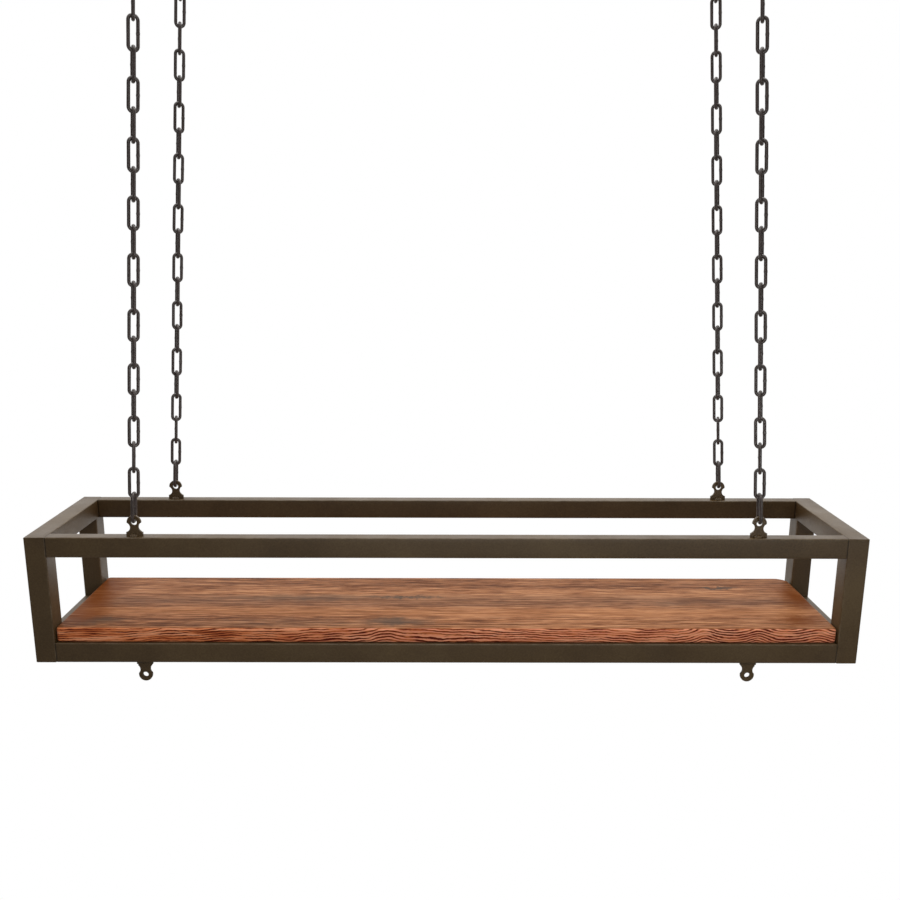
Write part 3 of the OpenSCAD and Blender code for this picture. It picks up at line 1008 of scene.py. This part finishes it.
FLOOR_Z = -2.4
FLOOR_HALF = 30.0
FLOOR_FADE_Y = (0.5, 4.0)
FLOOR_NEAR = (0.22, 0.215, 0.21)
FLOOR_FAR = (0.85, 0.84, 0.82)
FLOOR_GLOW = 0.35
WARM_WHITE = (1.0, 0.99, 0.97)
WORLD_LOW = 0.05
WORLD_TOP = 0.75
WORLD_BACK = 1.15

# Area lamps: offset from what they light, size and power
KEY_LAMP = {"offset": (0, 0.1, 1.5), "size": (1.6, 0.9), "watts": 11.5}
FRONT_LAMP = {"offset": (0.25, -0.8, 0), "size": (1.3, 0.04), "watts": 1.45}
CHAIN_LAMP = {"offset": (0, -1.0, 0), "size": (0.12, 1.0), "watts": 1.7}
CHAIN_LAMP_LEVEL = 0.28  # share of the way from the ceiling down to the frame's top


def camera_white(g, seen, lit):
    """Seen by the camera as the plain white and by all else as lit. Only for the world and the floor."""
    from_camera = g.add("LightPath", {}).outputs["Is Camera Ray"]
    return g.add("MixShader", {0: from_camera, 1: lit, 2: seen}).outputs[0]


def add_world():
    """Soft white surroundings: bright behind and above the shelf, dimmer in front of it and below."""
    world = bpy.data.worlds.new("studio")
    bpy.context.scene.world = world
    g = Graph(world)
    g.tree.nodes.clear()
    _, y, z = g.axes(g.add("TexCoord", {}).outputs["Generated"])
    overhead = g.math("MULTIPLY", g.fade(z, 0.1, 1.0), WORLD_TOP)
    behind = g.math("MULTIPLY", g.fade(y, 0.0, 0.9), WORLD_BACK)
    light = g.math("ADD", g.math("ADD", overhead, behind), WORLD_LOW)
    lit = g.add("Background", {"Color": rgb(*WARM_WHITE), "Strength": light}).outputs[0]
    seen = g.add("Background", {"Color": rgb(1, 1, 1), "Strength": 1.0}).outputs[0]
    out = g.tree.nodes.new("ShaderNodeOutputWorld")
    g.feed(out.inputs["Surface"], camera_white(g, seen, lit))


def add_floor():
    """A plain floor well below the hanging shelf: paler behind it, with a faint glow there."""
    signs = ((-1, -1), (1, -1), (1, 1), (-1, 1))
    corners = [Vector((x * FLOOR_HALF, y * FLOOR_HALF, FLOOR_Z)) for x, y in signs]
    mesh = bpy.data.meshes.new("floor")
    mesh.from_pydata(corners, [], [(0, 1, 2, 3)])
    g = material("floor_paint")
    shader = g.tree.nodes["Principled BSDF"]
    _, y, _ = g.axes(g.place())
    paint = g.mix(g.fade(y, *FLOOR_FADE_Y), rgb(*FLOOR_NEAR), rgb(*FLOOR_FAR))
    g.feed(shader.inputs["Base Color"], paint)
    g.feed(shader.inputs["Emission Color"], rgb(*WARM_WHITE))
    g.feed(shader.inputs["Emission Strength"], g.fade(y, *FLOOR_FADE_Y, 0.0, FLOOR_GLOW))
    g.feed(shader.inputs["Roughness"], 0.9)
    seen = g.add("Emission", {"Color": rgb(1, 1, 1), "Strength": 1.0}).outputs[0]
    out = g.tree.nodes["Material Output"]
    g.feed(out.inputs["Surface"], camera_white(g, seen, shader.outputs[0]))
    mesh.materials.append(g.owner)
    floor = bpy.data.objects.new("floor", mesh)
    bpy.context.scene.collection.objects.link(floor)


def add_area(name, target, offset, size, watts):
    """An area lamp that faces its target from an offset and isn't seen by the camera."""
    place = target + Vector(offset)
    data = bpy.data.lights.new(name, "AREA")
    data.shape = "RECTANGLE"
    data.size, data.size_y = size
    data.energy = watts
    lamp = bpy.data.objects.new(name, data)
    lamp.location = place
    lamp.rotation_euler = (target - place).to_track_quat("-Z", "Y").to_euler()
    lamp.visible_camera = False
    bpy.context.scene.collection.objects.link(lamp)


def add_studio():
    """White surroundings, a large lamp overhead, a strip lamp for the front rails and one for the chains."""
    add_world()
    add_floor()
    middle = (FRAME_LOW + FRAME_HIGH) / 2
    rails = Vector((middle.x, middle.y, FRAME_HIGH.z - TUBE / 2))
    chains = Vector((middle.x, middle.y, FRAME_HIGH.z * CHAIN_LAMP_LEVEL))
    add_area("overhead", middle, **KEY_LAMP)
    add_area("front_strip", rails, **FRONT_LAMP)
    add_area("chain_strip", chains, **CHAIN_LAMP)
    bpy.context.scene.view_settings.view_transform = "Standard"


# ---- Build ----

COAT = frame_coat()
WOOD = stained_wood()
CHAIN = chain_black()
HOOK = hook_black()
ZINC = screw_zinc()

add_camera()
add_studio()
build_frame()
build_board()
build_screws()
build_tabs()
build_welds()
for index, (corner_name, x_sign, y_sign) in enumerate(CORNERS):
    build_chain(corner_name, x_sign, CHAIN_SEED_STEP * index)
    build_hook(corner_name, y_sign)
